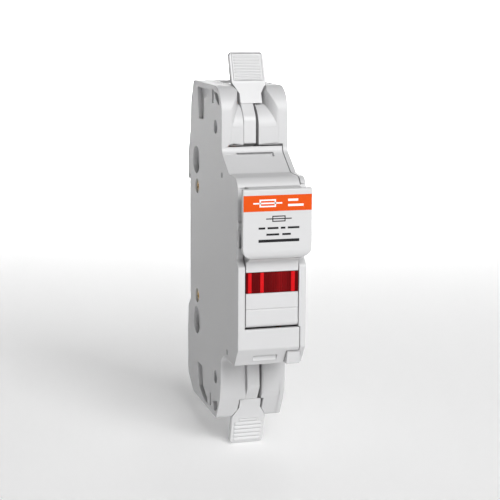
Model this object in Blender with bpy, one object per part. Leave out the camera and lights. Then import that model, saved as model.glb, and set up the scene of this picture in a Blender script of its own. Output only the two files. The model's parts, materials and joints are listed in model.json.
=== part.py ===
"""One-pole tilt-out fuse holder for a 10 x 38 mm cartridge fuse, for a 35 mm top-hat rail.

Frame: +X to the right of someone facing the front, -Y out of the front, +Z up. The origin is the
middle of the flat face that rests on the rail. All sizes are in millimetres and are turned into
metres when a mesh is made.
"""
import math

import bpy
import bmesh
from mathutils import Matrix

MM = 0.001
FIT_GAP = 0.3                     # between pieces that touch
ARC_STEP = math.radians(15)       # how finely a round stretch is drawn

# Casing
HALF_WIDTH = 8.9                  # half of the 17.8 mm module
WALL_X = 7.05                     # inner side of both side walls
SEAM_X = 7.5                      # where the cover starts
FRONT_Y = -50.5                   # front plane
BACK_WALL_Y = -1.9                # inner side of the back wall
PANEL_TOP_Z = -15.7               # top edge of the front panel, under the carrier
RAIL_HALF = 17.7                  # half of the notch for the 35 mm rail
LIP_Z = 16.4                      # inner end of the lip that hooks behind the rail
SEAT_HALF = 16.0                  # the rail rests on this much, between two relief grooves
RELIEF_Y = -0.3

# Carrier
TILT_Y, TILT_Z = -47.5, -10.4     # pivot of the carrier
CARRIER_X = 6.85                  # half width between the walls
HANDLE_Y = -54.7                  # front of the handle
HANDLE_TOP_Z = 20.6
HANDLE_LOW_Z = 2.2
CHEEK_X = 5.5                     # inner side of the carrier's cheeks
WINDOW_Z = (-6.28, -0.88)

# Cartridge fuse
FUSE_Y, FUSE_Z = -37.5, -3.0
FUSE_LENGTH = 38.0
CAP_RADIUS, CAP_LENGTH = 5.15, 8.5
TUBE_RADIUS = 4.9

# Terminals: the lower one is the upper one turned half round about Y
LEVER_Y, LEVER_Z = -28.0, 33.5    # pivot of the upper lever
LEVER_ARM_X = {1: (-2.9, 0.4), -1: (-1.6, 1.8)}   # the narrow arm and the hub, upper and lower
NECK_X = 2.95
TAB_X = 4.62
DRUM_RADIUS = 5.2
PIN_RADIUS = 1.6
LOWER_LEVER_REST = 6.0            # degrees that the lower lever stands open
BAR_Y = (-18.9, -17.7)
BAR_X = 3.4
CAGE_Y = (-24.8, -16.2)
CAGE_X = 4.9
CAGE_Z = (32.5, 36.0)
CAGE_TRAVEL = 4.6                 # while the lever swings through LEVER_TRAVEL
LEVER_TRAVEL = 85.0

# Rail clip
CLIP_RAIL_X, CLIP_RIB_X = 4.3, 2.7

LIGHT_GREY = (0.76, 0.765, 0.77, 1.0)


def material(name, color, roughness=0.5, metallic=0.0):
    """A plain Principled material, made once for each name."""
    found = bpy.data.materials.get(name)
    if found:
        return found
    made = bpy.data.materials.new(name)
    made.use_nodes = True
    shader = made.node_tree.nodes["Principled BSDF"]
    shader.inputs["Base Color"].default_value = color
    shader.inputs["Roughness"].default_value = roughness
    shader.inputs["Metallic"].default_value = metallic
    return made


def housing_plastic():
    return material("housing_plastic", LIGHT_GREY, 0.45)


def lever_plastic():
    return material("lever_plastic", (0.84, 0.84, 0.85, 1.0), 0.4)


def copper():
    return material("copper", (0.86, 0.5, 0.32, 1.0), 0.3, 1.0)


def brass():
    return material("brass", (0.83, 0.66, 0.32, 1.0), 0.3, 1.0)


def steel():
    return material("steel", (0.62, 0.63, 0.65, 1.0), 0.3, 1.0)


def filleted(corners):
    """Points of an outline from (u, v, radius) corners, each round one drawn as an arc."""
    points = []
    count = len(corners)
    for index, (u, v, radius) in enumerate(corners):
        if radius == 0:
            points.append((u, v))
            continue
        before = corners[index - 1]
        after = corners[(index + 1) % count]
        to_before = math.atan2(before[1] - v, before[0] - u)
        to_after = math.atan2(after[1] - v, after[0] - u)
        turn = (to_after - to_before + math.pi) % math.tau - math.pi
        reach = radius / math.tan(abs(turn) / 2)
        far = radius / math.sin(abs(turn) / 2)
        middle = to_before + turn / 2
        centre_u = u + far * math.cos(middle)
        centre_v = v + far * math.sin(middle)
        start = (u + reach * math.cos(to_before), v + reach * math.sin(to_before))
        first = math.atan2(start[1] - centre_v, start[0] - centre_u)
        sweep = -math.copysign(math.pi - abs(turn), turn)
        steps = max(1, math.ceil(abs(sweep) / ARC_STEP))
        for step in range(steps + 1):
            angle = first + sweep * step / steps
            points.append((centre_u + radius * math.cos(angle), centre_v + radius * math.sin(angle)))
    return points


def sharp(*points):
    """Corners with no rounding."""
    return [(u, v, 0) for u, v in points]


def rectangle(u0, u1, v0, v1):
    return [(u0, v0), (u1, v0), (u1, v1), (u0, v1)]


def circle(u, v, radius, sides=24):
    return [(u + radius * math.cos(math.tau * k / sides), v + radius * math.sin(math.tau * k / sides))
            for k in range(sides)]


def solid(name, outline, low, high, axis="X"):
    """Extrude an outline along an axis. X takes (y, z) points, Y takes (x, z) and Z takes (x, y)."""
    place = {
        "X": lambda u, v, w: (w, u, v),
        "Y": lambda u, v, w: (u, w, v),
        "Z": lambda u, v, w: (u, v, w),
    }[axis]
    mesh = bmesh.new()
    ends = []
    for level in (low, high):
        ends.append([mesh.verts.new([MM * value for value in place(u, v, level)]) for u, v in outline])
    mesh.faces.new(ends[0])
    mesh.faces.new(ends[1])
    count = len(outline)
    for index in range(count):
        after = (index + 1) % count
        mesh.faces.new((ends[0][index], ends[0][after], ends[1][after], ends[1][index]))
    bmesh.ops.recalc_face_normals(mesh, faces=mesh.faces)
    return as_object(name, mesh)


def as_object(name, mesh):
    data = bpy.data.meshes.new(name)
    mesh.to_mesh(data)
    mesh.free()
    made = bpy.data.objects.new(name, data)
    bpy.context.scene.collection.objects.link(made)
    return made


def box(name, x, y, z):
    return solid(name, rectangle(*y, *z), x[0], x[1])


def finish(piece, look):
    piece.data.materials.clear()
    piece.data.materials.append(look)
    return piece


def combine(piece, tools, operation):
    """Add or cut other solids, which stay in the file as hidden wire guides."""
    for tool in tools:
        tool.hide_render = True
        tool.display_type = "WIRE"
        step = piece.modifiers.new(operation.lower() + "_" + tool.name, "BOOLEAN")
        step.operation = operation
        step.solver = "EXACT"
        step.object = tool
    return piece


def cut(piece, *tools):
    return combine(piece, tools, "DIFFERENCE")


def join(piece, *tools):
    return combine(piece, tools, "UNION")


def end_of(span, sign):
    """An X or Z range at the upper terminal (sign 1), turned half round for the lower one (sign -1)."""
    return (span[0], span[1]) if sign > 0 else (-span[1], -span[0])


def end_outline(outline, sign):
    """A (y, z) outline drawn for the upper terminal, mirrored for the lower one."""
    return [(y, sign * z) for y, z in outline]


def hang_on(axis_name, point, pieces):
    """Parent moving pieces to an empty that stands on their joint's axis."""
    empty = bpy.data.objects.new(axis_name, None)
    bpy.context.scene.collection.objects.link(empty)
    empty.location = [MM * value for value in point]
    for piece in pieces:
        piece.parent = empty
        piece.matrix_parent_inverse = Matrix.Translation(empty.location).inverted()


# ---------------------------------------------------------------- casing

def casing_outline():
    """The side view of the casing, as (y, z) points."""
    return filleted([
        (-4.0, 44.2, 1.2), (-1.1, 38.3, 4.0), (0.0, 30.0, 6.0), (2.2, 23.5, 3.0),
        (2.2, LIP_Z, 0), (1.25, LIP_Z, 0), (1.25, RAIL_HALF, 0), (RELIEF_Y, RAIL_HALF, 0),
        (RELIEF_Y, SEAT_HALF, 0), (0.0, SEAT_HALF, 0), (0.0, -SEAT_HALF, 0), (RELIEF_Y, -SEAT_HALF, 0),
        (RELIEF_Y, -RAIL_HALF, 0), (2.3, -20.0, 0.6), (3.2, -27.0, 6.0), (3.2, -40.2, 3.4),
        (-3.2, -44.4, 3.0), (-30.9, -44.8, 1.8), (-33.7, -29.5, 5.0), (-33.7, -27.4, 1.2),
        (-36.8, -25.5, 1.0), (-47.1, -25.6, 0.7), (FRONT_Y, -20.7, 0.9), (FRONT_Y, 0.4, 1.2),
        (-48.6, 2.2, 0.8), (-49.7, 9.0, 6.0), (-49.7, 22.6, 3.0), (-41.4, 22.8, 1.6),
        (-34.2, 27.6, 2.2), (-34.2, 44.1, 6.9),
    ])


def bay_outline():
    """The inside of the casing between the two terminals."""
    return filleted(sharp(
        (BACK_WALL_Y, 22.5), (BACK_WALL_Y, -22.5), (-24.0, -22.5), (-24.0, -27.2), (-31.9, -27.2),
        (-35.7, -23.7), (-46.3, -23.7), (-48.6, -20.0), (-48.6, -16.9), (-49.3, PANEL_TOP_Z),
        (-60.0, PANEL_TOP_Z), (-60.0, 20.9), (-40.6, 20.9), (-32.0, 27.2), (-24.0, 27.2),
        (-24.0, 22.5)))


def terminal_outline(sign):
    """The inside of the casing behind one terminal's lever."""
    upper = [(-25.2, 20.0), (-25.2, 42.2), (-5.0, 42.2), (-2.9, 38.0), (-1.9, 20.0)]
    return end_outline(upper, sign)


def lever_bay_outline(sign):
    """The space in front, where the lever stands, with a floor that clears the tip of its arm."""
    upper = [(-40.0, 50.0), (-40.0, 28.9), (-34.2, 28.9), (-31.9, 27.2), (-24.0, 27.2), (-24.0, 50.0)]
    return end_outline(upper, sign)


def drum_outline(sign):
    """The round block on each side of the lever's arm, flat at its back."""
    points = [(y, z) for y, z in circle(LEVER_Y, LEVER_Z, DRUM_RADIUS, 32) if y < -25.6]
    points.sort(key=lambda p: math.atan2(p[1] - LEVER_Z, -(p[0] - LEVER_Y)))
    return end_outline(points, sign)


def block_outline(sign, lift):
    """The foot under a drum, as far above the floor of the lever's bay as lift says."""
    low = 27.0 + lift
    upper = [(-33.2, LEVER_Z), (-33.2, low + 1.5), (-32.1, low), (-29.8, low), (-29.8, LEVER_Z)]
    return end_outline(upper, sign)


def left_housing_shell():
    shell = solid("left_housing_shell", casing_outline(), -HALF_WIDTH, SEAM_X - 0.1)
    cavity_top = SEAM_X + 1.0
    cut(shell, solid("bay_cut", bay_outline(), -WALL_X, cavity_top))
    for sign, end in ((1, "upper"), (-1, "lower")):
        cut(shell, solid(end + "_terminal_cut", terminal_outline(sign), -WALL_X, cavity_top))
        cut(shell, solid(end + "_lever_cut", lever_bay_outline(sign), -WALL_X, cavity_top))
        drum_x = (-WALL_X - 0.1, LEVER_ARM_X[sign][0] - FIT_GAP)
        join(shell, solid(end + "_drum", drum_outline(sign), *drum_x))
        join(shell, solid(end + "_block", block_outline(sign, 0.0), *drum_x))
        join(shell, solid(end + "_cheek", cheek_outline(sign), -WALL_X - 0.1, -5.0))
        entry = rectangle(-3.5, 3.5, -17.6, -9.6)
        cut(shell, solid(end + "_wire_entry", entry, *end_of((40.0, 50.0), sign), "Z"))
        cut(shell, solid(end + "_pin_hole", pin_hole(sign), -10.0, cavity_top))
        cut(shell, solid(end + "_tie_recess", circle(-7.1, sign * 22.6, 3.75), -10.0, -HALF_WIDTH + 1.5))
        cut(shell, solid(end + "_rivet_head", circle(-8.0, sign * 15.4, 1.9), -10.0, -HALF_WIDTH + 0.9))
        cut(shell, solid(end + "_rivet_hole", circle(-8.0, sign * 15.4, 1.3, 16), -10.0, cavity_top))
        cut(shell, solid(end + "_marker_slot", marker_outline(sign), -10.0, -HALF_WIDTH + 1.3))
        slot_x, slot_z = (-10.0, -HALF_WIDTH + 1.3), end_of((39.6, 42.9), sign)
        cut(shell, box(end + "_test_slot", slot_x, (-23.8, -21.8), slot_z))
    cut(shell, box("panel_notch", (-4.0, 2.0), (-52.0, -48.1), (-24.4, -22.5)))
    cut(shell, *clip_channel())
    join(shell, clip_peg())
    return finish(shell, housing_plastic())


def pin_hole(sign):
    return circle(LEVER_Y, sign * LEVER_Z, PIN_RADIUS + 0.15)


def cheek_outline(sign):
    """The thickened wall beside the lever's neck, which closes most of the bay's top."""
    upper = [(-33.9, 36.8), (-33.7, 39.8), (-31.6, 42.6), (-28.6, 43.8), (-24.5, 43.8),
             (-24.5, 39.0), (-30.0, 36.8)]
    return end_outline(upper, sign)


def marker_outline(sign):
    """The dog-leg recess for a marker tag, in the left wall."""
    upper = [(-6.4, 42.6), (-18.8, 42.6), (-18.8, 40.8), (-12.8, 40.8), (-11.0, 38.0),
             (-11.0, 34.3), (-6.4, 34.3)]
    return end_outline(upper, sign)


def clip_channel():
    """The T slot for the rail clip, open at the back and at the bottom."""
    wide = CLIP_RAIL_X + FIT_GAP
    rib = CLIP_RIB_X + FIT_GAP
    return [box("clip_rails", (-wide, wide), (0.3, 1.7), (-50.0, -15.0)),
            box("clip_rib_slot", (-rib, rib), (1.0, 6.0), (-50.0, -15.0))]


def clip_peg():
    return box("clip_peg", (-1.2, 1.2), (-0.5, 1.5), (-33.8, -32.6))


def right_housing_cover():
    cover = solid("right_housing_cover", casing_outline(), SEAM_X, HALF_WIDTH)
    pad = filleted([
        (-34.0, 18.0, 0), (-34.0, -15.4, 0), (FRONT_Y + 0.1, -15.4, 0), (FRONT_Y + 0.1, 0.4, 1.2),
        (-48.5, 2.2, 0.8), (-49.6, 9.0, 6.0), (-49.6, 20.7, 0), (-41.0, 20.7, 0)])
    join(cover, solid("cover_pad", pad, WALL_X, SEAM_X + 0.2))
    for sign, end in ((1, "upper"), (-1, "lower")):
        drum_x = (LEVER_ARM_X[sign][1] + 0.65, SEAM_X + 0.2)
        join(cover, solid(end + "_cover_drum", drum_outline(sign), *drum_x))
        join(cover, solid(end + "_cover_block", block_outline(sign, 0.8), *drum_x))
        join(cover, solid(end + "_cover_cheek", cheek_outline(sign), 5.2, SEAM_X + 0.2))
        cut(cover, solid(end + "_cover_pin_hole", pin_hole(sign), 0.0, 10.0))
        cut(cover, solid(end + "_cover_tie", circle(-7.1, sign * 22.6, 3.75), HALF_WIDTH - 0.9, 10.0))
        cut(cover, solid(end + "_cover_head", circle(-8.0, sign * 15.4, 1.9), HALF_WIDTH - 0.6, 10.0))
        cut(cover, solid(end + "_cover_rivet", circle(-8.0, sign * 15.4, 1.3, 16), 0.0, 10.0))
    cut(cover, solid("cover_pivot_hole", circle(TILT_Y, TILT_Z, 1.1, 16), 0.0, 8.2))
    return finish(cover, housing_plastic())


def rivet(name, sign):
    """A brass eyelet through both halves, with a rolled head in each counterbore."""
    y, z = -8.0, sign * 15.4
    shank = solid(name, circle(y, z, 1.15, 16), -HALF_WIDTH + 0.35, HALF_WIDTH - 0.1)
    join(shank, solid(name + "_left_head", circle(y, z, 1.75, 20), -HALF_WIDTH + 0.35, -HALF_WIDTH + 0.8))
    join(shank, solid(name + "_right_head", circle(y, z, 1.75, 20), HALF_WIDTH - 0.5, HALF_WIDTH - 0.1))
    cut(shank, solid(name + "_bore", circle(y, z, 0.75, 12), -10.0, 10.0))
    return finish(shank, brass())


def rail_clip():
    clip = box("rail_clip", (-CLIP_RAIL_X, CLIP_RAIL_X), (0.55, 1.35), (-43.0, -18.5))
    join(clip, box("clip_rib", (-CLIP_RIB_X, CLIP_RIB_X), (1.1, 2.3), (-43.8, -16.4)))
    join(clip, box("clip_foot", (-CLIP_RIB_X, CLIP_RIB_X), (0.55, 2.3), (-43.8, -41.5)))
    join(clip, solid("clip_wedge", [(0.55, -20.3), (1.3, -18.2), (1.3, -21.0)], -CLIP_RIB_X, CLIP_RIB_X))
    cut(clip, box("clip_window", (-1.6, 1.6), (0.0, 3.0), (-34.1, -24.5)))
    cut(clip, box("clip_tool_slot", (-1.5, 1.5), (0.9, 1.9), (-46.0, -42.0)))
    return finish(clip, material("clip_plastic", (0.6, 0.6, 0.6, 1.0), 0.5))


def spring_wire(name, points, radius):
    """A closed tube along points, in millimetres."""
    curve = bpy.data.curves.new(name, "CURVE")
    curve.dimensions = "3D"
    curve.bevel_depth = radius * MM
    curve.bevel_resolution = 1
    curve.use_fill_caps = True
    line = curve.splines.new("POLY")
    line.points.add(len(points) - 1)
    for spot, point in zip(line.points, points):
        spot.co = (*[MM * value for value in point], 1.0)
    made = bpy.data.objects.new(name, curve)
    bpy.context.scene.collection.objects.link(made)
    return made


def rail_clip_spring():
    turns, per_turn, coil_radius = 6, 10, 0.62
    low, high = -32.1, -24.95
    points = []
    for step in range(turns * per_turn + 1):
        angle = math.tau * step / per_turn
        height = low + (high - low) * step / (turns * per_turn)
        points.append((coil_radius * math.cos(angle), 1.25 + coil_radius * math.sin(angle), height))
    return finish_curve(spring_wire("rail_clip_spring", points, 0.18), steel())


def finish_curve(piece, look):
    piece.data.materials.append(look)
    return piece


# ---------------------------------------------------------------- carrier

def face_outline():
    """The side view of the carrier's face and handle."""
    return filleted([
        (-48.6, -15.1, 0.5), (FRONT_Y, -15.1, 1.1), (FRONT_Y, HANDLE_LOW_Z, 1.0),
        (HANDLE_Y, HANDLE_LOW_Z, 3.2), (HANDLE_Y, HANDLE_TOP_Z, 0.5), (-48.6, HANDLE_TOP_Z - 0.2, 0),
    ])


def cheek_plate_outline():
    return filleted(sharp(
        (-48.7, 20.0), (-48.7, -13.0), (-43.2, -13.0), (-43.2, -11.5), (-36.5, -11.5), (-36.5, 5.5),
        (-43.2, 5.5), (-43.2, 20.0)))


def fuse_carrier():
    carrier = solid("fuse_carrier", face_outline(), -CARRIER_X, CARRIER_X)
    top = HANDLE_TOP_Z - 0.1
    wing = filleted([(-8.85, 3.4, 2.6), (8.85, 3.4, 2.6), (8.85, top, 0.6), (-8.85, top, 0.6)])
    join(carrier, solid("handle_wing", wing, HANDLE_Y + 0.05, HANDLE_Y + 1.5, "Y"))
    for side in (-1, 1):
        x = sorted((side * CHEEK_X, side * (CARRIER_X - 0.1)))
        join(carrier, solid("cheek_plate_%d" % side, cheek_plate_outline(), *x))
    join(carrier, box("saddle", (-CHEEK_X - 0.1, CHEEK_X + 0.1), (-44.3, -38.0), (-4.0, -2.0)))
    cut(carrier, solid("saddle_bore", circle(0.0, FUSE_Y, CAP_RADIUS + 0.2), -22.0, 16.0, "Z"))
    cut(carrier, box("window_recess", (-7.5, 7.5), (-52.0, -49.2), WINDOW_Z))
    cut(carrier, box("window_light_way", (-4.5, 4.5), (-50.0, -48.0), (-5.6, -1.6)))
    cut(carrier, box("face_groove", (-7.5, 7.5), (-52.0, FRONT_Y + 0.25), (-10.45, -10.1)))
    cut(carrier, box("label_recess", (-9.5, 9.5), (-56.0, HANDLE_Y + 0.3), (4.6, 19.6)))
    cut(carrier, solid("pivot_bore", circle(TILT_Y, TILT_Z, 1.1, 16), -10.0, 10.0))
    return finish(carrier, housing_plastic())


def front_label():
    label = box("front_label", (-8.6, 8.6), (HANDLE_Y, HANDLE_Y + 0.2), (4.7, 19.5))
    return finish(label, material("label_print", (0.95, 0.28, 0.06, 1.0), 0.4))


def indicator_window():
    lens = box("indicator_window", (-6.8, 6.8), (FRONT_Y, -49.35), (WINDOW_Z[0] + 0.1, WINDOW_Z[1] - 0.1))
    join(lens, box("lens_light_guide", (-4.3, 4.3), (-49.6, -48.1), (-5.4, -1.8)))
    return finish(lens, material("red_lens", (0.6, 0.02, 0.04, 0.8), 0.15))


def indicator_board():
    board = box("indicator_board", (-5.1, 5.1), (-46.2, -45.2), (-8.5, 8.0))
    return finish(board, material("board_green", (0.06, 0.25, 0.12, 1.0), 0.5))


def indicator_lamp():
    lamp = box("indicator_lamp", (-1.3, 1.3), (-47.1, -46.5), (-4.9, -2.3))
    join(lamp, solid("lamp_dome", circle(0.0, -3.6, 1.0, 16), -47.7, -46.9, "Y"))
    return finish(lamp, material("lamp_red", (0.8, 0.05, 0.05, 1.0), 0.2))


def indicator_resistor():
    body = solid("indicator_resistor", circle(3.0, -47.4, 0.75, 12), 0.5, 4.5, "Z")
    return finish(body, material("resistor_body", (0.7, 0.55, 0.35, 1.0), 0.5))


def indicator_contact(name, start_z, end_z):
    """A thin bent strip from the back of the board to one cap of the fuse."""
    rise = math.copysign(1.0, end_z - start_z)
    strip = [(-44.9, start_z - rise), (-44.6, start_z - rise), (-44.6, start_z), (-43.4, end_z - rise),
             (-43.0, end_z), (-43.3, end_z), (-43.8, end_z - rise), (-44.9, start_z + 0.1 * rise)]
    return finish(solid(name, strip, -1.2, 1.2), copper())


def carrier_pivot_pin():
    return finish(solid("carrier_pivot_pin", circle(TILT_Y, TILT_Z, 1.0, 16), -6.95, 8.0), steel())


# ---------------------------------------------------------------- cartridge fuse

def fuse_end(sign):
    return FUSE_Z + sign * FUSE_LENGTH / 2


def fuse_tube():
    low, high = fuse_end(-1) + 3.2, fuse_end(1) - 1.2
    tube = solid("fuse_tube", circle(0.0, FUSE_Y, TUBE_RADIUS - 0.25), low, high, "Z")
    middle = (fuse_end(-1) + CAP_LENGTH + FIT_GAP, fuse_end(1) - CAP_LENGTH - FIT_GAP)
    join(tube, solid("tube_middle", circle(0.0, FUSE_Y, TUBE_RADIUS + 0.1), *middle, "Z"))
    cut(tube, solid("tube_bore", circle(0.0, FUSE_Y, 3.4), -40.0, 40.0, "Z"))
    return finish(tube, material("fuse_melamine", (0.84, 0.82, 0.75, 1.0), 0.5))


def fuse_cap(name, sign):
    """A plated cap; the lower one ends in the small rejection tip."""
    outer = fuse_end(sign)
    inner = outer - sign * CAP_LENGTH
    if sign > 0:
        cap = solid(name, circle(0.0, FUSE_Y, CAP_RADIUS), inner, outer, "Z")
        cut(cap, solid(name + "_bore", circle(0.0, FUSE_Y, TUBE_RADIUS), inner - 1, outer - 0.9, "Z"))
        return finish(cap, brass())
    shoulder = outer + 2.2
    cap = solid(name, circle(0.0, FUSE_Y, CAP_RADIUS), shoulder, inner, "Z")
    join(cap, solid(name + "_tip", circle(0.0, FUSE_Y, 1.6, 16), outer, shoulder + 0.5, "Z"))
    cut(cap, solid(name + "_bore", circle(0.0, FUSE_Y, TUBE_RADIUS), shoulder + 0.8, inner + 1, "Z"))
    return finish(cap, brass())


def fuse_element():
    """The notched strip that melts, with its notches as a run of necks."""
    low, high = fuse_end(-1) + 3.4, fuse_end(1) - 1.4
    necks, half, narrow = 5, 1.3, 0.6
    pitch = (high - low) / necks
    right = []
    for index in range(necks):
        middle = low + pitch * (index + 0.5)
        right += [(half, middle - pitch * 0.5 + 0.1), (half, middle - 0.9), (narrow, middle - 0.5),
                  (narrow, middle + 0.5), (half, middle + 0.9)]
    right.append((half, high))
    outline = right + [(-x, z) for x, z in reversed(right)]
    return finish(solid("fuse_element", outline, FUSE_Y - 0.1, FUSE_Y + 0.1, "Y"), copper())


# ---------------------------------------------------------------- current path

def fuse_clip(name, z, y, foot_z):
    """Two blades beside the cap, joined by a back plate that reaches the terminal bar."""
    front, back = y
    clip = box(name, (-5.95, 5.95), (front, back), z)
    cut(clip, box(name + "_mouth", (-5.35, 5.35), (front - 1, back - 0.8), (z[0] - 1, z[1] + 1)))
    reach = (min(z[0], foot_z), max(z[1], foot_z))
    join(clip, box(name + "_foot", (-BAR_X, BAR_X), (back - 0.8, back), reach))
    return finish(clip, copper())


def terminal_bar(name, sign, foot_z, foot_y):
    """The upright bar that the wire is clamped to, with a foot that runs forward to the fuse clip."""
    bar = box(name, (-BAR_X, BAR_X), BAR_Y, end_of((foot_z, 39.5), sign))
    foot = end_of((foot_z, foot_z + 1.2), sign)
    join(bar, box(name + "_foot", (-BAR_X, BAR_X), (foot_y, BAR_Y[1]), foot))
    return finish(bar, copper())


# ---------------------------------------------------------------- terminals

def clamp_cage(name, sign):
    """The sliding stirrup that pulls the wire against the bar, as far back as its lever stands open."""
    open_share = LOWER_LEVER_REST / LEVER_TRAVEL if sign < 0 else 0.0
    front, back = [y + CAGE_TRAVEL * open_share for y in CAGE_Y]
    z = end_of(CAGE_Z, sign)
    cage = box(name, (-CAGE_X, CAGE_X), (front, back), z)
    cut(cage, box(name + "_window", (-3.9, 3.9), (front + 1.0, back - 1.0), (z[0] - 1, z[1] + 1)))
    return finish(cage, steel())


def clamp_spring(name, sign):
    """A bow of flat strip between the cage and the back wall."""
    thick, low = 0.35, 33.0
    outer, inner = [], []
    steps = 12
    for step in range(steps + 1):
        share = step / steps
        y = -15.5 + 12.0 * share
        z = low + 2.4 * math.sin(math.pi * share) - 1.0
        outer.append((y, z + thick))
        inner.append((y, z))
    strip = end_outline(outer + list(reversed(inner)), sign)
    return finish(solid(name, strip, -2.6, 2.6), steel())


def lever_arm_outline():
    """The hub, the arm in front of it and the cam lobe below it, about the pivot."""
    return filleted([
        (-3.0, 6.1, 0), (-5.7, 2.3, 3.0), (-5.9, -3.9, 0.5), (-4.4, -4.4, 0), (-1.3, -7.1, 0.4),
        (1.2, -7.1, 0.4), (2.6, -2.0, 0), (2.6, 1.5, 1.0), (-0.4, 6.3, 0)])


def lever_neck_outline():
    """The neck and the tab in side view, about the pivot."""
    return filleted([
        (-2.9, 6.15, 0), (-0.45, 11.15, 4.0), (2.9, 19.4, 0.9), (4.7, 18.7, 0.9),
        (1.9, 11.5, 2.0), (-0.5, 6.15, 0)])


def lever_front_outline():
    """The neck, the flare and the tab from the front, as (x, z) about the pivot."""
    half = [(NECK_X, 5.0), (NECK_X, 8.6), (TAB_X, 11.3), (TAB_X, 18.2), (TAB_X - 1.2, 20.0)]
    return half + [(-x, z) for x, z in reversed(half)]


def lever(name, sign):
    """A lever drawn for the upper terminal about its pivot, then turned into its place."""
    piece = solid(name, lever_neck_outline(), -TAB_X, TAB_X)
    combine(piece, [solid(name + "_front_shape", lever_front_outline(), -10.0, 10.0, "Y")], "INTERSECT")
    join(piece, solid(name + "_arm", lever_arm_outline(), *end_of(LEVER_ARM_X[sign], sign)))
    cut(piece, solid(name + "_bore", circle(0.0, 0.0, PIN_RADIUS + 0.1, 20), -10.0, 10.0))
    finish(piece, lever_plastic())
    place_lever(piece, sign)
    for step in piece.modifiers:
        place_lever(step.object, sign)
    return piece


def place_lever(piece, sign):
    piece.location = (0.0, MM * LEVER_Y, MM * sign * LEVER_Z)
    if sign < 0:
        piece.rotation_euler = (math.radians(LOWER_LEVER_REST), math.pi, 0.0)


def lever_pin(name, sign):
    return finish(solid(name, circle(LEVER_Y, sign * LEVER_Z, PIN_RADIUS, 20), -7.9, 7.9), steel())


# ---------------------------------------------------------------- all of it

def clear_scene():
    for piece in list(bpy.data.objects):
        bpy.data.objects.remove(piece, do_unlink=True)


def build_casing():
    left_housing_shell()
    right_housing_cover()
    rivet("rivet_upper", 1)
    rivet("rivet_lower", -1)
    rail_clip_spring()
    hang_on("rail_clip_axis", (0.0, 1.0, -30.0), [rail_clip()])


def build_carrier():
    hang_on("carrier_tilt_axis", (0.0, TILT_Y, TILT_Z), [
        fuse_carrier(),
        front_label(),
        indicator_window(),
        indicator_board(),
        indicator_lamp(),
        indicator_resistor(),
        indicator_contact("indicator_contact_upper", 7.5, 10.5),
        indicator_contact("indicator_contact_lower", -8.0, -14.5),
        carrier_pivot_pin(),
        fuse_tube(),
        fuse_cap("fuse_cap_upper", 1),
        fuse_cap("fuse_cap_lower", -1),
        fuse_element(),
    ])


def build_terminals():
    fuse_clip("upper_fuse_clip", (8.5, 15.5), (-41.0, -30.6), 17.8)
    fuse_clip("lower_fuse_clip", (-21.0, -14.5), (-39.5, -27.2), -22.0)
    terminal_bar("upper_terminal_bar", 1, 18.1, -31.4)
    terminal_bar("lower_terminal_bar", -1, 22.3, -28.0)
    for sign, end in ((1, "upper"), (-1, "lower")):
        hang_on(end + "_cage_axis", (0.0, -20.0, sign * LEVER_Z), [clamp_cage(end + "_clamp_cage", sign)])
        clamp_spring(end + "_clamp_spring", sign)
        lever(end + "_lever", sign)
        lever_pin(end + "_lever_pin", sign)


def main():
    clear_scene()
    build_casing()
    build_carrier()
    build_terminals()


if __name__ == "__main__":
    main()
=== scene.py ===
"""Tilt-out fuse holder with its cartridge fuse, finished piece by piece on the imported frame.

Outlines are written in millimetres and turned into metres where a mesh is made. +X is to the right
of someone facing the front, -Y comes out of the front and +Z is up.
"""
import json
import math

import bmesh
import bpy
from bpy.props import FloatProperty, FloatVectorProperty, IntProperty, PointerProperty
from mathutils import Matrix, Vector


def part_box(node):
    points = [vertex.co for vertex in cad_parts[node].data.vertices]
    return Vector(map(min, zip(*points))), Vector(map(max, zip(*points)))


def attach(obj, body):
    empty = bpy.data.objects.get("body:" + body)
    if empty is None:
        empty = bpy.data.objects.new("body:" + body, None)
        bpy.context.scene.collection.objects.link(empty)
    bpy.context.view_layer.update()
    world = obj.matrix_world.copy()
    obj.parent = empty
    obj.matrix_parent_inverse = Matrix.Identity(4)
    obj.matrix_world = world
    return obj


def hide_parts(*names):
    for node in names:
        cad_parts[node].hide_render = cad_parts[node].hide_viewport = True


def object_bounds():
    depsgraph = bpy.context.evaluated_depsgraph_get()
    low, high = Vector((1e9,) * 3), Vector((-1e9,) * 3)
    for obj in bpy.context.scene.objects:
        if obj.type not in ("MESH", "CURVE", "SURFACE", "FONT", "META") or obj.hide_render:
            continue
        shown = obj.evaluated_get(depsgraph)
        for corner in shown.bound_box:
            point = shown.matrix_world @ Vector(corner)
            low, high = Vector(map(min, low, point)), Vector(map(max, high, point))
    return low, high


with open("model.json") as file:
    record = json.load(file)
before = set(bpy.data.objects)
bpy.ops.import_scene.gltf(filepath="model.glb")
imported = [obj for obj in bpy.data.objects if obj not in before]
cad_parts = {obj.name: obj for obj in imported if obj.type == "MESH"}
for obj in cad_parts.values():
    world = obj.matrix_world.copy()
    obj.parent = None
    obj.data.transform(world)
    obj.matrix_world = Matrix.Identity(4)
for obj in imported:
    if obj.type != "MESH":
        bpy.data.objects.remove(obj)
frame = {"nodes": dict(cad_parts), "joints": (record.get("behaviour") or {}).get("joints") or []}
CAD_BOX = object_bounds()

bl_info = {
    "name": "Tilt-out fuse holder",
    "version": (1, 0, 0),
    "blender": (4, 5, 0),
    "location": "3D View > Sidebar > Fuse holder",
    "description": "Builds the finished pieces of a one-pole fuse holder around its packed frame",
    "category": "Object",
}

MM = 0.001
ARC_STEP = math.radians(7.5)      # how finely a round stretch is drawn
MERGE = 2e-6                      # doubles closer than this are one point, in metres
BEVEL_ANGLE = math.radians(32)
FLAT_ANGLE = math.radians(0.4)    # faces that meet at less than this are one flat face
SIDEWAYS = 0.5                    # a face whose normal has more X than this faces sideways

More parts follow.
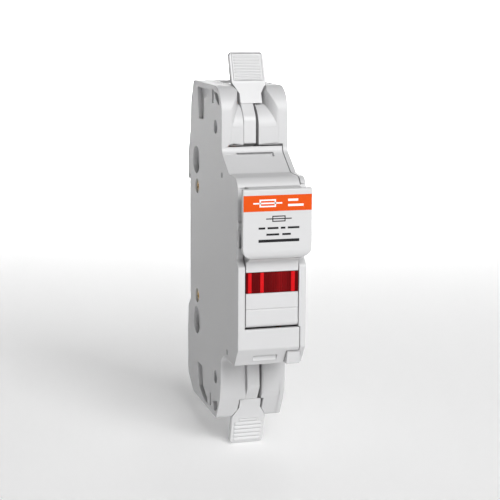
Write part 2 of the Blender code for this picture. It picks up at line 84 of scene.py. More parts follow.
# Casing
HALF_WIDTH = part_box("right_housing_cover")[1].x / MM
WALL_X = 7.05
SEAM_X = 7.5
FRONT_Y = -50.5
PANEL_TOP_Z = -15.55
ROOF_Z = 20.45
BACK_WALL_Y = -1.9
OPEN_X = 9.5                      # past the outside of the casing
RIVET_HOLE, PIVOT_HOLE = 1.3, 1.1
# How far each part of the cover reaches into its plate, all different so that no two ends share a plane
COLUMN_LAP, CHUNK_LAP, DRUM_LAP, PAD_LAP = 0.2, 0.25, 0.3, 0.35

# Carrier
TILT = [joint for joint in frame["joints"] if joint["name"] == "carrier_tilt"][0]["pos_m"]
TILT_Y, TILT_Z = TILT[1] / MM, TILT[2] / MM
CARRIER_X = 6.85
HANDLE_Y = -54.65
HANDLE_TOP_Z = 20.6
HANDLE_LOW_Z = 2.2
CHEEK_X = 5.5
WINDOW_Z = (-6.28, -0.88)
FLUTE_PITCH = 0.46
GROOVE_Z = -10.39

# Cartridge fuse
FUSE_Y, FUSE_Z = -37.5, -3.0
FUSE_LENGTH = 38.0
CAP_RADIUS, CAP_LENGTH, TUBE_RADIUS = 5.15, 8.5, 4.9

# Terminals, upper (1) and lower (-1)
LEVER_Y, LEVER_Z = -28.0, 33.5
ARM_X = {1: (-2.9, 0.4), -1: (-1.6, 1.8)}
ARM_GAP = {1: (0.05, 0.65), -1: (0.05, 0.85)}    # left and right of the arm
DRUM_RADIUS = {1: 6.0, -1: 4.9}
DRUM_SHORT = {1: 0.0, -1: 0.6}    # the lower drums end inside their columns
LEVER_OPEN = {1: 0.0, -1: 6.0}    # degrees that a lever stands open at rest
NECK_X, TAB_X = 2.95, 4.62
TAB_START, TAB_END = (-0.45, 11.15), (2.9, 19.4)    # ends of the tab's flat in side view, about the pivot
PIN_RADIUS = 1.6
PIN_PLAY = 0.15
COLUMN_BACK_Y = -25.1             # the columns beside the levers stay in front of the clamp cages
COLUMN_PROUD = 0.05               # drawn this far past the casing's front, then cut flush with it
COLUMN_STEPS = 16
RIVET_Y, RIVET_Z = -8.0, 15.4

# Stage, in metres, watts and degrees
PAPER_GLOW, AIR_GLOW = 0.18, 0.06
LIGHTS = (                        # name, place, what it points at, size, power, spread
    ("key_light", (0.14, -1.02, 0.62), (0.0, -0.025, 0.0), 0.7, 14.2, 180.0),
    ("backdrop_light", (0.50, 0.80, 1.3), (0.38, 1.15, 0.0), 0.8, 20.0, 76.0),
)
FLOOR_GAP = 0.2                   # millimetres under the lower lever
CAMERA_PLACE = (-0.0993, -0.3753, 0.0673)
CAMERA_YAW, CAMERA_PITCH, CAMERA_ROLL = 16.05, 10.46, 0.30
CAMERA_LENS = 99.72               # millimetres


# ---------------------------------------------------------------- outlines

def filleted(corners):
    """Points of an outline from (u, v, radius) corners, each round one drawn as an arc."""
    points = []
    count = len(corners)
    for index, (u, v, radius) in enumerate(corners):
        if radius == 0:
            points.append((u, v))
            continue
        before, after = corners[index - 1], corners[(index + 1) % count]
        to_before = math.atan2(before[1] - v, before[0] - u)
        to_after = math.atan2(after[1] - v, after[0] - u)
        turn = (to_after - to_before + math.pi) % math.tau - math.pi
        reach = radius / math.tan(abs(turn) / 2)
        far = radius / math.sin(abs(turn) / 2)
        middle = to_before + turn / 2
        centre = (u + far * math.cos(middle), v + far * math.sin(middle))
        start = (u + reach * math.cos(to_before), v + reach * math.sin(to_before))
        first = math.atan2(start[1] - centre[1], start[0] - centre[0])
        sweep = -math.copysign(math.pi - abs(turn), turn)
        steps = max(1, math.ceil(abs(sweep) / ARC_STEP))
        for step in range(steps + 1):
            angle = first + sweep * step / steps
            points.append((centre[0] + radius * math.cos(angle), centre[1] + radius * math.sin(angle)))
    return points


def rectangle(u, v):
    return [(u[0], v[0]), (u[1], v[0]), (u[1], v[1]), (u[0], v[1])]


def circle(u, v, radius, sides=40):
    return [(u + radius * math.cos(math.tau * k / sides), v + radius * math.sin(math.tau * k / sides))
            for k in range(sides)]


def end_of(span, sign):
    """A Z range at the upper terminal (sign 1), mirrored for the lower one (sign -1)."""
    return (span[0], span[1]) if sign > 0 else (-span[1], -span[0])


def end_outline(outline, sign):
    return [(y, sign * z) for y, z in outline]


# ---------------------------------------------------------------- making meshes

def as_object(name, mesh):
    data = bpy.data.meshes.new(name)
    mesh.to_mesh(data)
    mesh.free()
    made = bpy.data.objects.new(name, data)
    bpy.context.scene.collection.objects.link(made)
    return made


def prism(name, outline, low, high, axis="X"):
    """Extrude an outline along an axis. X takes (y, z) points, Y takes (x, z) and Z takes (x, y)."""
    place = {
        "X": lambda u, v, w: (w, u, v),
        "Y": lambda u, v, w: (u, w, v),
        "Z": lambda u, v, w: (u, v, w),
    }[axis]
    mesh = bmesh.new()
    ends = [[mesh.verts.new([MM * value for value in place(u, v, level)]) for u, v in outline]
            for level in (low, high)]
    mesh.faces.new(ends[0])
    mesh.faces.new(ends[1])
    count = len(outline)
    for index in range(count):
        after = (index + 1) % count
        mesh.faces.new((ends[0][index], ends[0][after], ends[1][after], ends[1][index]))
    bmesh.ops.recalc_face_normals(mesh, faces=mesh.faces)
    return as_object(name, mesh)


def block(name, x, y, z):
    return prism(name, rectangle(y, z), x[0], x[1])


def settle(piece):
    """Apply a piece's whole stack and remove the helpers that it named."""
    helpers = {step.object for step in piece.modifiers if getattr(step, "object", None)}
    bpy.context.view_layer.update()
    shaped = bpy.data.meshes.new_from_object(piece.evaluated_get(bpy.context.evaluated_depsgraph_get()))
    if not shaped.polygons:
        raise RuntimeError(f"{piece.name} lost its faces")
    old, name = piece.data, piece.data.name
    piece.modifiers.clear()
    piece.data = shaped
    if old.users == 0:
        bpy.data.meshes.remove(old)
    shaped.name = name
    for helper in helpers:
        bpy.data.objects.remove(helper, do_unlink=True)
    return piece


def combine(piece, operation, tools):
    for tool in tools:
        step = piece.modifiers.new(operation.lower(), "BOOLEAN")
        step.operation = operation
        step.solver = "EXACT"
        step.object = tool
    return piece


def join(piece, *tools):
    return combine(piece, "UNION", tools)


def cut(piece, *tools):
    return combine(piece, "DIFFERENCE", tools)


def keep(piece, *tools):
    return combine(piece, "INTERSECT", tools)


def clean(piece):
    """Merge doubles, melt the seams that the cuts leave in flat faces, and split hollow-cornered faces.

    Faces that look sideways stay whole, so that their edges bevel evenly. The cover's face at the seam
    is split too, because its outline is too hollow to be filled well in one piece.
    """
    mesh = bmesh.new()
    mesh.from_mesh(piece.data)
    bmesh.ops.remove_doubles(mesh, verts=mesh.verts, dist=MERGE)
    bmesh.ops.dissolve_degenerate(mesh, edges=mesh.edges, dist=MERGE)
    bmesh.ops.dissolve_limit(mesh, angle_limit=FLAT_ANGLE, verts=mesh.verts, edges=mesh.edges)
    bmesh.ops.connect_verts_concave(mesh, faces=[
        face for face in mesh.faces
        if abs(face.normal.x) < SIDEWAYS or abs(face.calc_center_median().x - MM * SEAM_X) < MERGE])
    mesh.to_mesh(piece.data)
    mesh.free()
    return piece


def soften(piece, width, segments=2):
    """Round a piece's hard edges with a live bevel, and shade it by the size of its faces."""
    piece.data.shade_smooth()
    bevel = piece.modifiers.new("edge_round", "BEVEL")
    bevel.width = width
    bevel.segments = segments
    bevel.limit_method = "ANGLE"
    bevel.angle_limit = BEVEL_ANGLE
    bevel.use_clamp_overlap = False
    bevel.miter_outer = "MITER_ARC"
    bevel.harden_normals = True
    shade = piece.modifiers.new("even_shading", "WEIGHTED_NORMAL")
    shade.keep_sharp = True
    shade.weight = 60
    return piece


def turned(name, profile, place, sides=48):
    """A turned shape from (radius, height) points, top first, in millimetres, put in its place."""
    mesh = bmesh.new()
    points = [mesh.verts.new((MM * radius, 0.0, MM * height)) for radius, height in profile]
    for start, end in zip(points, points[1:]):
        mesh.edges.new((start, end))
    piece = as_object(name, mesh)
    screw = piece.modifiers.new("turn", "SCREW")
    screw.axis = "Z"
    screw.steps = screw.render_steps = sides
    screw.use_merge_vertices = True
    screw.merge_threshold = MERGE
    settle(piece)
    piece.data.transform(place)
    mesh = bmesh.new()
    mesh.from_mesh(piece.data)
    bmesh.ops.remove_doubles(mesh, verts=mesh.verts, dist=MERGE)
    bmesh.ops.recalc_face_normals(mesh, faces=mesh.faces)
    mesh.to_mesh(piece.data)
    mesh.free()
    piece.data.shade_smooth()
    piece.data.set_sharp_from_angle(angle=BEVEL_ANGLE)
    return piece


def along(axis, x, y, z):
    """A place at (x, y, z) millimetres that turns the Z axis onto X, Y or Z."""
    turn = {"X": Matrix.Rotation(math.pi / 2, 4, "Y"), "Y": Matrix.Rotation(-math.pi / 2, 4, "X"),
            "Z": Matrix.Identity(4)}[axis]
    return Matrix.Translation((MM * x, MM * y, MM * z)) @ turn


def wire(name, points, radius):
    """A round wire along points, in millimetres."""
    curve = bpy.data.curves.new(name, "CURVE")
    curve.dimensions = "3D"
    curve.bevel_depth = radius * MM
    curve.bevel_resolution = 4
    curve.use_fill_caps = True
    line = curve.splines.new("POLY")
    line.points.add(len(points) - 1)
    for spot, point in zip(line.points, points):
        spot.co = (*[MM * value for value in point], 1.0)
    made = bpy.data.objects.new(name, curve)
    bpy.context.scene.collection.objects.link(made)
    return made


def finish(piece, body, look, slot, *replaced):
    """Give a piece its look and its body, and hide the nodes that it stands for."""
    piece.data.materials.clear()
    piece.data.materials.append(look)
    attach(piece, body)
    if replaced:
        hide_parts(*replaced)
    return piece


# ---------------------------------------------------------------- looks

class Signal:
    """One output of a material's nodes, with arithmetic that adds Math nodes."""

    def __init__(self, look, socket):
        self.look, self.socket = look, socket

    def math(self, operation, *values):
        return self.look.node("ShaderNodeMath", {"operation": operation}, dict(enumerate(values)))

    def __add__(self, other):
        return self.math("ADD", self, other)

    def __sub__(self, other):
        return self.math("SUBTRACT", self, other)

    def __rsub__(self, other):
        return self.math("SUBTRACT", other, self)

    def __mul__(self, other):
        return self.math("MULTIPLY", self, other)

    def __gt__(self, other):
        return self.math("GREATER_THAN", self, other)

    def __lt__(self, other):
        return self.math("LESS_THAN", self, other)

    def __abs__(self):
        return self.math("ABSOLUTE", self)

    __radd__, __rmul__ = __add__, __mul__

    def wave(self):
        return self.math("SINE", self)

    def clamped(self):
        return self.look.node("ShaderNodeClamp", {}, {0: self, 1: 0.0, 2: 1.0})


class Look:
    """A procedural material built up around one Principled shader."""

    def __init__(self, name, constants):
        self.material = bpy.data.materials.new(name)
        self.material.use_nodes = True
        self.tree = self.material.node_tree
        self.shader = self.tree.nodes["Principled BSDF"]
        for socket, value in constants.items():
            self.shader.inputs[socket].default_value = value

    def node(self, kind, settings, values, output=0):
        """Add any node: its settings first, then the values or links of its sockets."""
        made = self.tree.nodes.new(kind)
        for key, value in settings.items():
            setattr(made, key, value)
        for key, value in values.items():
            if isinstance(value, Signal):
                self.tree.links.new(value.socket, made.inputs[key])
            else:
                made.inputs[key].default_value = value
        return Signal(self, made.outputs[output])

    def place(self, stretch=(1.0, 1.0, 1.0)):
        where = self.node("ShaderNodeTexCoord", {}, {}, "Object")
        return self.node("ShaderNodeMapping", {}, {"Vector": where, "Scale": stretch})

    def axis(self, letter):
        return self.node("ShaderNodeSeparateXYZ", {}, {0: self.place()}, letter)

    def noise(self, scale, detail=2.0, stretch=(1.0, 1.0, 1.0)):
        return self.node("ShaderNodeTexNoise", {}, {
            "Vector": self.place(stretch), "Scale": scale, "Detail": detail, "Roughness": 0.55}, "Fac")

    def blend(self, first, second, share):
        return self.node("ShaderNodeMix", {"data_type": "RGBA"}, {0: share, 6: first, 7: second}, 2)

    def bump(self, height, distance, strength=1.0):
        return self.node("ShaderNodeBump", {}, {"Height": height, "Distance": distance, "Strength": strength})

    def feed(self, **links):
        names = {"color": "Base Color", "rough": "Roughness", "normal": "Normal"}
        for key, signal in links.items():
            self.tree.links.new(signal.socket, self.shader.inputs[names[key]])
        return self.material


def shade(color, factor):
    return tuple(min(1.0, channel * factor) for channel in color[:3]) + (1.0,)


def moulded(name, color, rough=0.42):
    """Injection-moulded plastic: spark-eroded grain, faint flow marks and an uneven gloss."""
    look = Look(name, {"IOR": 1.53, "Specular IOR Level": 0.45})
    cloud = look.noise(75.0, 3.0)
    flow = look.noise(140.0, 2.0, (1.0, 0.6, 0.12))
    grain = look.noise(3400.0, 2.0)
    tone = cloud * 0.6 + flow * 0.4
    return look.feed(
        color=look.blend(shade(color, 0.965), shade(color, 1.025), tone),
        rough=rough + (tone - 0.5) * 0.16 + (grain - 0.5) * 0.1,
        normal=look.bump(grain, 0.000012, 0.55))


def printed(name, color, rough=0.38):
    """Screen-printed ink: an even film with a fine mottle and soft thin spots."""
    look = Look(name, {"IOR": 1.5, "Specular IOR Level": 0.12})
    mottle = look.noise(2600.0, 2.0)
    patch = look.noise(240.0, 3.0)
    tone = mottle * 0.45 + patch * 0.55
    return look.feed(
        color=look.blend(shade(color, 0.9), shade(color, 1.06), tone),
        rough=rough + (patch - 0.5) * 0.18,
        normal=look.bump(mottle, 0.000006, 0.5))


def lens(name, dark, lit):
    """Dark red fluted lens with a faint glow of lamp light behind its middle."""
    look = Look(name, {"IOR": 1.45, "Specular IOR Level": 0.06,
                       "Coat Weight": 0.02, "Coat Roughness": 0.05})
    across = look.axis("X")
    flutes = (across * (math.tau / (MM * FLUTE_PITCH))).wave()
    streak = look.noise(900.0, 2.0, (1.0, 1.0, 0.06))
    patch = look.noise(260.0, 2.0)
    near_lamp = (1.0 - abs(across - 0.0022) * 310.0).clamped()
    glow = (near_lamp * (0.3 + (flutes * 0.5 + 0.5) * 0.45 + (streak - 0.5) * 1.2)
            + (patch - 0.5) * 0.35).clamped()
    return look.feed(color=look.blend(dark, lit, glow), rough=0.12 + patch * 0.12,
                     normal=look.bump(streak, 0.00002, 0.4))


def bright_lens(name, color):
    """Clear red plastic that carries light: a soft haze with thin lines across it."""
    look = Look(name, {"IOR": 1.45, "Specular IOR Level": 0.1,
                       "Coat Weight": 0.02, "Coat Roughness": 0.06})
    haze = look.noise(420.0, 2.0)
    edge = look.noise(1500.0, 2.0, (0.3, 1.0, 1.0))
    return look.feed(color=look.blend(shade(color, 0.86), shade(color, 1.08), haze * 0.6 + edge * 0.4),
                     rough=0.14 + haze * 0.12, normal=look.bump(haze, 0.00001, 0.4))


def metal(name, color, rough=0.28, brushed=(1.0, 1.0, 0.06), tarnish=(0.25, 0.2, 0.14, 1.0)):
    """Rolled or plated metal: drawn lines, uneven polish and a little tarnish."""
    look = Look(name, {"Metallic": 1.0})
    lines = look.noise(2200.0, 2.0, brushed)
    cloud = look.noise(190.0, 4.0)
    stain = ((cloud - 0.56) * 3.2).clamped()
    return look.feed(
        color=look.blend(look.blend(shade(color, 0.88), shade(color, 1.08), lines), tarnish, stain * 0.4),
        rough=rough + (lines - 0.5) * 0.2 + stain * 0.25,
        normal=look.bump(lines, 0.00001, 0.5))


def melamine(name, color):
    """Pressed tube of a cartridge: cream body with fine fibre running round it."""
    look = Look(name, {"IOR": 1.6})
    fibre = look.noise(1500.0, 3.0, (1.0, 1.0, 4.0))
    cloud = look.noise(160.0, 3.0)
    return look.feed(color=look.blend(shade(color, 0.86), shade(color, 1.04), fibre * 0.5 + cloud * 0.5),
                     rough=0.4 + (cloud - 0.5) * 0.2, normal=look.bump(fibre, 0.000012, 0.5))


def circuit(name, green, copper_tone):
    """Solder-masked board with tracks that show through as lighter lines."""
    look = Look(name, {"IOR": 1.5, "Coat Weight": 0.5})
    across, up = look.axis("X"), look.axis("Z")
    lanes = (abs((across * 2600.0 + (up * 900.0).wave() * 0.7).wave()) < 0.3)
    pads = (look.noise(700.0, 0.0) > 0.64)
    weave = look.noise(2200.0, 1.0)
    base = look.blend(shade(green, 0.85), shade(green, 1.15), weave)
    tracked = look.blend(base, shade(green, 1.7), lanes)
    return look.feed(color=look.blend(tracked, copper_tone, pads * 0.6), rough=0.3 + weave * 0.15,
                     normal=look.bump(lanes * 0.5 + weave * 0.2, 0.00003, 0.5))


def banded(name, body, bands):
    """A resistor's lacquer with its code rings along Z."""
    look = Look(name, {"IOR": 1.5, "Coat Weight": 0.4})
    up = look.axis("Z")
    speck = look.noise(1800.0, 2.0)
    color = look.blend(shade(body, 0.92), shade(body, 1.05), speck)
    for middle, half, ring in bands:
        color = look.blend(color, ring, abs(up - middle) < half)
    return look.feed(color=color, rough=0.3 + speck * 0.12, normal=look.bump(speck, 0.000008, 0.4))


def matte(name, color):
    """Studio paper: almost plain, with a faint tooth and a little light of its own."""
    look = Look(name, {"Specular IOR Level": 0.1, "Emission Color": (1.0, 1.0, 1.0, 1.0),
                       "Emission Strength": PAPER_GLOW})
    tooth = look.noise(900.0, 2.0)
    return look.feed(color=look.blend(shade(color, 0.99), shade(color, 1.0), tooth), rough=0.85 + tooth * 0.1)


_made = {}


def look_of(kind):
    """One material for each finish, made when it is first asked for."""
    tones = bpy.context.scene.fuse_holder_colours
    makers = {
        "housing": lambda: moulded("housing_plastic", tones.housing),
        "carrier": lambda: moulded("carrier_plastic", shade(tones.housing, 1.01), 0.4),
        "lever": lambda: moulded("lever_plastic", tones.lever, 0.38),
        "clip": lambda: moulded("clip_plastic", (0.52, 0.525, 0.53, 1.0), 0.5),
        "band": lambda: printed("label_band", tones.band, 0.34),
        "ink": lambda: printed("label_ink", tones.ink, 0.4),
        "white_ink": lambda: printed("label_white", (0.9, 0.9, 0.9, 1.0), 0.38),
        "lens": lambda: lens("lens_dark", tones.lens_dark, tones.lens_mid),
        "lens_bar": lambda: bright_lens("lens_bright", tones.lens_bright),
        "brass": lambda: metal("brass", (0.8, 0.6, 0.3, 1.0), 0.26),
        "copper": lambda: metal("copper", (0.86, 0.48, 0.3, 1.0), 0.28, (1.0, 0.06, 1.0)),
        "nickel": lambda: metal("nickel_plate", (0.72, 0.7, 0.66, 1.0), 0.2, (1.0, 1.0, 3.0)),
        "steel": lambda: metal("steel", (0.56, 0.57, 0.59, 1.0), 0.3),
        "zinc": lambda: metal("zinc_plate", (0.66, 0.67, 0.7, 1.0), 0.34, (0.06, 1.0, 1.0)),
        "tube": lambda: melamine("fuse_melamine", (0.78, 0.74, 0.62, 1.0)),
        "board": lambda: circuit("board_green", (0.03, 0.17, 0.08, 1.0), (0.6, 0.5, 0.3, 1.0)),
        "lamp": lambda: bright_lens("lamp_red", (0.75, 0.03, 0.03, 1.0)),
        "resistor": lambda: banded("resistor_body", (0.62, 0.46, 0.28, 1.0), [
            (0.0014, 0.00022, (0.35, 0.02, 0.02, 1.0)), (0.0022, 0.00022, (0.12, 0.03, 0.2, 1.0)),
            (0.0030, 0.00022, (0.02, 0.02, 0.02, 1.0)), (0.0038, 0.0002, (0.7, 0.5, 0.15, 1.0))]),
        "paper": lambda: matte("studio_paper", (0.84, 0.84, 0.84, 1.0)),
    }
    if kind not in _made:
        _made[kind] = makers[kind]()
    return _made[kind]


# ---------------------------------------------------------------- casing

def casing_outline():
    """The side view of the casing, as (y, z) points."""
    return filleted([
        (-4.0, 44.2, 1.2), (-1.1, 38.3, 4.0), (0.0, 30.0, 6.0), (2.2, 23.5, 3.0),
        (2.2, 16.4, 0), (1.25, 16.4, 0), (1.25, 17.7, 0), (-0.3, 17.7, 0), (-0.3, 16.0, 0), (0.0, 16.0, 0),
        (0.0, -16.0, 0), (-0.3, -16.0, 0), (-0.3, -17.7, 0), (2.3, -20.0, 0.6), (3.2, -27.0, 6.0),
        (3.2, -40.2, 3.4), (-3.2, -44.4, 3.0), (-29.1, -44.8, 1.5), (-33.4, -37.4, 11.0),
        (-33.7, -27.4, 1.2), (-36.8, -25.5, 1.0), (-47.1, -25.6, 0.7), (FRONT_Y, -20.7, 0.9),
        (FRONT_Y, 0.4, 1.2), (-48.6, 2.2, 0.8), (-49.7, 9.0, 6.0), (-49.7, 22.6, 3.0),
        (-41.4, 22.8, 1.6), (-34.2, 27.6, 2.2), (-34.2, 44.1, 6.9),
    ])


def bay_outline():
    """The inside of the casing between the two terminals."""
    return [(BACK_WALL_Y, 22.5), (BACK_WALL_Y, -22.5), (-24.0, -22.5), (-24.0, -27.2), (-31.9, -27.2),
            (-35.7, -23.7), (-46.3, -23.7), (-48.6, -20.0), (-48.6, -16.9), (-49.3, PANEL_TOP_Z),
            (-60.0, PANEL_TOP_Z), (-60.0, ROOF_Z), (-40.0, ROOF_Z), (-32.0, 27.2), (-24.0, 27.2), (-24.0, 22.5)]


def terminal_outline(sign):
    """The hollow behind a lever, with room for the clamp cage and its spring."""
    return end_outline([(-25.2, 20.0), (-25.2, 42.2), (-5.0, 42.2), (-2.9, 38.0), (-1.9, 20.0)], sign)


def lever_bay_outline(sign):
    """The space in front where the lever stands."""
    return end_outline([(-40.0, 50.0), (-40.0, 28.9), (-34.2, 28.9), (-31.9, 27.2), (-24.0, 27.2),
                        (-24.0, 50.0)], sign)


def drum_outline(sign):
    """The round block on each side of the lever's arm, with a flat foot."""
    radius = DRUM_RADIUS[sign]
    top = [(y, z) for y, z in circle(LEVER_Y, LEVER_Z, radius, 64) if y < -25.6 and z > LEVER_Z + 0.1]
    top.sort(key=lambda point: -point[0])
    front = LEVER_Y - radius
    foot = filleted([(front, LEVER_Z, 0), (front, 29.2, 0.5), (-31.2, 28.3, 0), (-25.6, 28.3, 0)])
    return end_outline(top + foot, sign)


def swelling(name, sign, side):
    """What fills the corner between a side wall and the lever's neck: a rounded column, flush with
    the casing's own front and cut to the flare of the lever. The lower one reaches to the arm."""
    outer = SEAM_X + COLUMN_LAP if side > 0 else WALL_X + 0.12
    if sign > 0:
        front, centre_y, inner, top = -34.2, -28.0, WALL_X - 3.6, 29.4
    else:
        front, centre_y, top = -33.7, -32.5, 27.2
        inner = abs(ARM_X[sign][(1 + side) // 2]) + ARM_GAP[sign][(1 + side) // 2]
    reach_x, reach_y = WALL_X - inner, centre_y - front + COLUMN_PROUD
    column = [(side * outer, COLUMN_BACK_Y), (side * inner, COLUMN_BACK_Y), (side * inner, centre_y)]
    for step in range(1, COLUMN_STEPS + 1):
        angle = math.radians(90 * step / COLUMN_STEPS)
        column.append((side * (WALL_X - reach_x * math.cos(angle)), centre_y - reach_y * math.sin(angle)))
    column.append((side * outer, front - COLUMN_PROUD))
    piece = prism(name, column, *end_of((top, 46.0), sign), "Z")
    keep(piece, prism(name + "_profile", casing_outline(), -OPEN_X, OPEN_X))
    near, far = (38.5, 42.0) if sign > 0 else (39.1, 42.4)
    flare = [(-NECK_X - 0.4, near), (-NECK_X - 0.4, far), (-5.3, far + 3.4), (-5.3, 49.0),
             (5.3, 49.0), (5.3, far + 3.4), (NECK_X + 0.4, far), (NECK_X + 0.4, near)]
    flare = [(x, sign * z) for x, z in flare]
    cut(piece, prism(name + "_flare", flare, -40.0, -24.0, "Y"))
    return settle(piece)


def marker_outline(sign):
    """The dog-leg recess for a marker tag."""
    if sign > 0:
        return filleted([(-8.6, 42.7, 0.5), (-20.9, 42.7, 0.4), (-21.3, 41.1, 0.4), (-16.2, 40.3, 0.6),
                         (-15.2, 34.4, 0.6), (-10.2, 34.1, 0.6)])
    return filleted([(-8.0, -34.3, 0.5), (-13.9, -34.4, 0.5), (-14.4, -39.6, 0.8), (-19.2, -42.2, 0.4),
                     (-19.6, -43.4, 0.4), (-15.6, -43.3, 0.4), (-9.7, -40.9, 0.6)])


def ear_outline(sign):
    """The curved three-cornered recess near the front of a terminal's wall."""
    if sign > 0:
        return filleted([(-26.1, 42.7, 0.4), (-30.2, 42.2, 2.4), (-32.6, 38.8, 0.4), (-28.6, 40.4, 0.8)])
    return filleted([(-25.1, -41.0, 0.4), (-30.2, -39.6, 0.5), (-30.0, -42.4, 1.6), (-26.6, -43.2, 0.4)])


def side_cuts(sign, end, outside, inside):
    """Recesses of one terminal in a side face, from outside to so many millimetres inside."""
    def span(depth):
        return sorted((outside + math.copysign(1.0, outside), outside - math.copysign(depth, outside)))
    return [
        prism(end + "_tie", circle(-7.1, sign * 22.6, 3.75, 56), *span(1.5 * inside)),
        prism(end + "_tie_eye", circle(-7.1, sign * 22.6, 1.5, 32), *span(1.75 * inside)),
        prism(end + "_head", circle(RIVET_Y, sign * RIVET_Z, 1.95), *span(0.9 * inside)),
        prism(end + "_marker", marker_outline(sign), *span(1.25 * inside)),
        prism(end + "_ear", ear_outline(sign), *span(1.3 * inside)),
        block(end + "_test_slot", span(1.3 * inside), (-26.1, -24.4) if sign > 0 else (-23.4, -21.9),
              end_of((39.5, 42.9), sign)),
    ]


def terminal_holes(sign):
    """Outlines of the holes for a lever's pin and for the eyelet beside it."""
    return (circle(LEVER_Y, sign * LEVER_Z, PIN_RADIUS + PIN_PLAY),
            circle(RIVET_Y, sign * RIVET_Z, RIVET_HOLE, 24))


def left_shell(sizes):
    """The tub: left wall, perimeter, front panel, roof, drums and the swellings beside the levers."""
    shell = prism("left_housing_shell_visual", casing_outline(), -HALF_WIDTH, SEAM_X - sizes.seam / MM)
    cut(shell, prism("bay", bay_outline(), -WALL_X, OPEN_X))
    for sign, end in ((1, "upper"), (-1, "lower")):
        cut(shell,
            prism(end + "_terminal", terminal_outline(sign), -WALL_X, OPEN_X),
            prism(end + "_lever_bay", lever_bay_outline(sign), -WALL_X, OPEN_X))
        join(shell,
             prism(end + "_drum", drum_outline(sign), -WALL_X - 0.1,
                   ARM_X[sign][0] - ARM_GAP[sign][0] - DRUM_SHORT[sign]),
             swelling(end + "_left_swelling", sign, -1))
        wire_way = filleted([(-3.5, -17.6, 0.8), (3.5, -17.6, 0.8), (3.5, -9.6, 0.8), (-3.5, -9.6, 0.8)])
        cut(shell, prism(end + "_wire_entry", wire_way, *end_of((40.0, 50.0), sign), "Z"))
        pin, rivet = terminal_holes(sign)
        cut(shell, prism(end + "_pin_hole", pin, -10.0, OPEN_X))
        cut(shell, prism(end + "_rivet_hole", rivet, -10.0, OPEN_X))
        cut(shell, *side_cuts(sign, end, -HALF_WIDTH, 1.0))
    for index, (y, z) in enumerate(((-34.5, 21.7), (-40.0, -23.7))):
        cut(shell, prism("peep_hole_%d" % index, circle(y, z, 0.7, 20), -10.0, -HALF_WIDTH + 1.2))
    cut(shell, *front_panel_cuts(), *slope_groove(), *clip_channel())
    thumb_rest = filleted([(-48.9, 9.4, 0), (-50.4, 10.5, 0.3), (-50.4, 11.7, 0.3), (-48.9, 12.8, 0)])
    join(shell, prism("thumb_rest", thumb_rest, -HALF_WIDTH, -7.3))
    cut(shell, block("thumb_slot", (-8.2, -7.0), (-52.0, -47.6), (5.2, 8.6)))
    join(shell, block("clip_peg", (-1.2, 1.2), (-0.5, 1.5), (-33.8, -32.6)))
    return shell


def front_panel_cuts():
    """Pocket and notches under the front panel's lower edge."""
    chunk = filleted([(-60.0, -21.75, 0), (-46.5, -21.75, 0), (-46.5, -26.0, 0), (-60.0, -26.0, 0)])
    return [
        block("panel_pocket", (-4.4, 1.9), (-52.0, -48.0), (-24.3, -22.7)),
        block("panel_step", (1.9, 3.9), (-52.0, -49.3), (-23.9, -22.9)),
        prism("panel_corner", chunk, 4.1, OPEN_X),
    ]


def slope_groove():
    """The thin slot with a hooked end, high on the shoulder."""
    return [
        block("groove_run", (-5.07, 4.6), (-38.0, -33.8), (26.9, 27.3)),
        block("groove_hook", (4.2, 4.75), (-38.0, -34.4), (26.3, 27.3)),
    ]


def clip_channel():
    """The way of the rail clip: a wide shallow one for its rails and a deep one for its rib."""
    wide, rib = 4.6, 3.0
    return [block("clip_rails", (-wide, wide), (0.3, 1.7), (-50.0, -15.0)),
            block("clip_rib_slot", (-rib, rib), (1.0, 6.0), (-50.0, -15.0))]


def right_cover():
    """The closing plate with its pad, its drums and the swellings of the right side."""
    cover = prism("right_housing_cover_visual", casing_outline(), SEAM_X, HALF_WIDTH)
    pad = keep(prism("pad", casing_outline(), WALL_X, SEAM_X + PAD_LAP),
               block("pad_reach", (0.0, 9.0), (-60.0, -34.0), (-15.4, 20.7)))
    join(cover, settle(pad))
    corner = filleted([(-50.25, -20.6, 0), (-50.25, -22.0, 0), (-49.5, -25.3, 0.5),
                       (-46.7, -25.45, 0.3), (-46.7, -20.6, 0)])
    for sign, end in ((1, "upper"), (-1, "lower")):
        join(cover,
             prism(end + "_cover_drum", drum_outline(sign),
                   ARM_X[sign][1] + ARM_GAP[sign][1] + DRUM_SHORT[sign], SEAM_X + DRUM_LAP),
             swelling(end + "_right_swelling", sign, 1))
        pin, rivet = terminal_holes(sign)
        cut(cover, prism(end + "_cover_pin", pin, 0.0, 10.0))
        cut(cover, prism(end + "_cover_rivet", rivet, 0.0, 10.0))
        cut(cover, *side_cuts(sign, end, HALF_WIDTH, 0.6))
    chunk = keep(prism("corner_chunk", corner, 4.25, SEAM_X + CHUNK_LAP),
                 block("corner_keep", (0.0, 9.0), (-52.0, -46.0), (-26.0, -21.87)))
    join(cover, settle(chunk))
    cut(cover, prism("cover_pivot", circle(TILT_Y, TILT_Z, PIVOT_HOLE, 20), 0.0, 8.2))
    return cover


def eyelet(name, sign):
    """A brass eyelet through both halves, with rolled heads."""
    left, right = -HALF_WIDTH + 0.35, HALF_WIDTH - 0.1
    wall, head = 1.15, 1.75
    profile = [(0.78, right - 0.12), (0.95, right), (1.45, right - 0.05), (head, right - 0.25),
               (1.55, right - 0.42), (wall, right - 0.45), (wall, left + 0.45), (1.55, left + 0.42),
               (head, left + 0.25), (1.45, left + 0.05), (0.95, left), (0.78, left + 0.12),
               (0.72, left + 0.5), (0.72, right - 0.5), (0.78, right - 0.12)]
    return turned(name, profile, along("X", 0.0, RIVET_Y, sign * RIVET_Z), 40)


# ---------------------------------------------------------------- carrier

